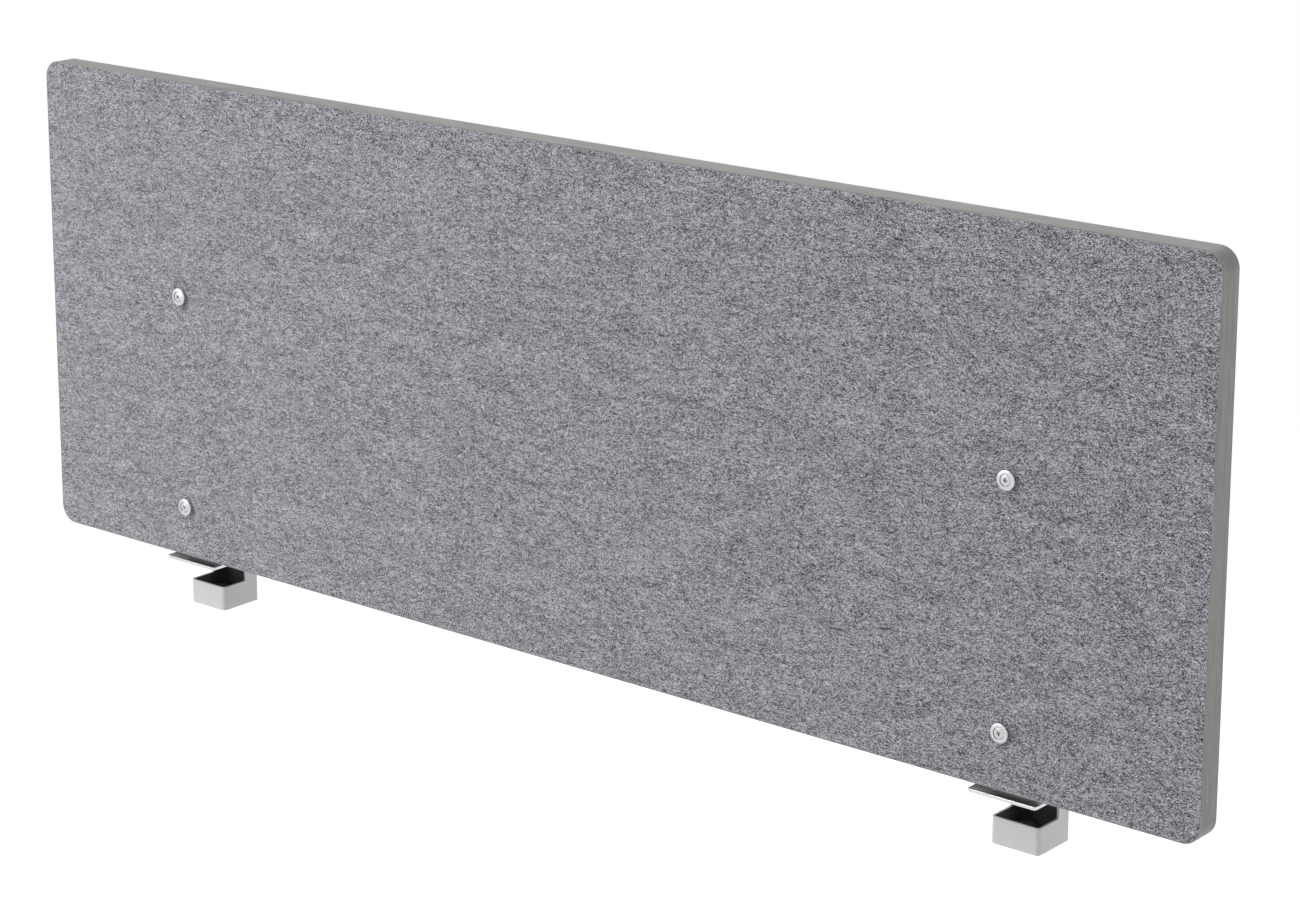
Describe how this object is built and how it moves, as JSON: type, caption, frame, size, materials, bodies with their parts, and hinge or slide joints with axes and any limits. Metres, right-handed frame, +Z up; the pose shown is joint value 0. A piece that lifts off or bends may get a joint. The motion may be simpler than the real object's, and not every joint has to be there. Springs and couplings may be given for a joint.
{
  "type": "desk mounted acoustic screen",
  "caption": "Wide felt faced acoustic panel with rounded corners, held at a desk's rear edge by slotted tube clamps with rising spindle discs.",
  "frame": {"origin": "the desk's rear top edge at the middle of the screen's width: the desk surface under the jaw pads is Z = 0, and the stop faces in the clamps' slots are Y = 0", "axes": "+X along the screen's width, to the right as seen from its front; +Y away from the screen's front, towards the clamp tubes; +Z up"},
  "size_m": [1.4, 0.08, 0.568],
  "materials": {
    "felt": "grey melange felt",
    "edge_band": "matt grey with fine streaks",
    "core": "pressed polyester fibre",
    "tube_paint": "satin powder coat",
    "jaw_steel": "bright nickel plate",
    "bright_steel": "bright white zinc",
    "zinc_steel": "turned, zinc plated",
    "rubber": "matt black",
    "cap_plastic": "fine grained black"
  },
  "bodies": {
    "screen": {"core_board": "core", "front_felt": "felt", "back_felt": "felt", "edge_band": "edge_band", "panel_sleeves": "zinc_steel", "finishing_washers": "bright_steel", "panel_screws": "bright_steel", "rivet_nuts": "zinc_steel", "bracket_tube_left": "tube_paint", "tube_cap_left": "cap_plastic", "jaw_plate_left": "jaw_steel", "jaw_pad_left": "rubber", "floor_plate_left": "tube_paint", "threaded_bush_left": "zinc_steel", "bracket_tube_right": "tube_paint", "tube_cap_right": "cap_plastic", "jaw_plate_right": "jaw_steel", "jaw_pad_right": "rubber", "floor_plate_right": "tube_paint", "threaded_bush_right": "zinc_steel"},
    "left_disc": {"pressure_disc_left": "zinc_steel", "disc_facing_left": "rubber"},
    "left_spindle": {"clamp_spindle_left": "zinc_steel"},
    "right_disc": {"pressure_disc_right": "zinc_steel", "disc_facing_right": "rubber"},
    "right_spindle": {"clamp_spindle_right": "zinc_steel"}
  },
  "joints": [
    {"name": "left_disc_rise", "type": "slide", "parent": "screen", "child": "left_disc", "axis": [0, 0, 1], "range_m": [0, 0.0125]},
    {"name": "left_spindle_turn", "type": "hinge", "parent": "left_disc", "child": "left_spindle", "pos_m": [-0.504, -0.014, -0.045], "axis": [0, 0, 1], "range_deg": [0, 3600]},
    {"name": "right_disc_rise", "type": "slide", "parent": "screen", "child": "right_disc", "axis": [0, 0, 1], "range_m": [0, 0.0125]},
    {"name": "right_spindle_turn", "type": "hinge", "parent": "right_disc", "child": "right_spindle", "pos_m": [0.504, -0.014, -0.045], "axis": [0, 0, 1], "range_deg": [0, 3600]}
  ],
  "couplings": [
    {"joint": "left_spindle_turn", "follows": "left_disc_rise", "rad_per_m": 5026.5},
    {"joint": "right_spindle_turn", "follows": "right_disc_rise", "rad_per_m": 5026.5}
  ]
}
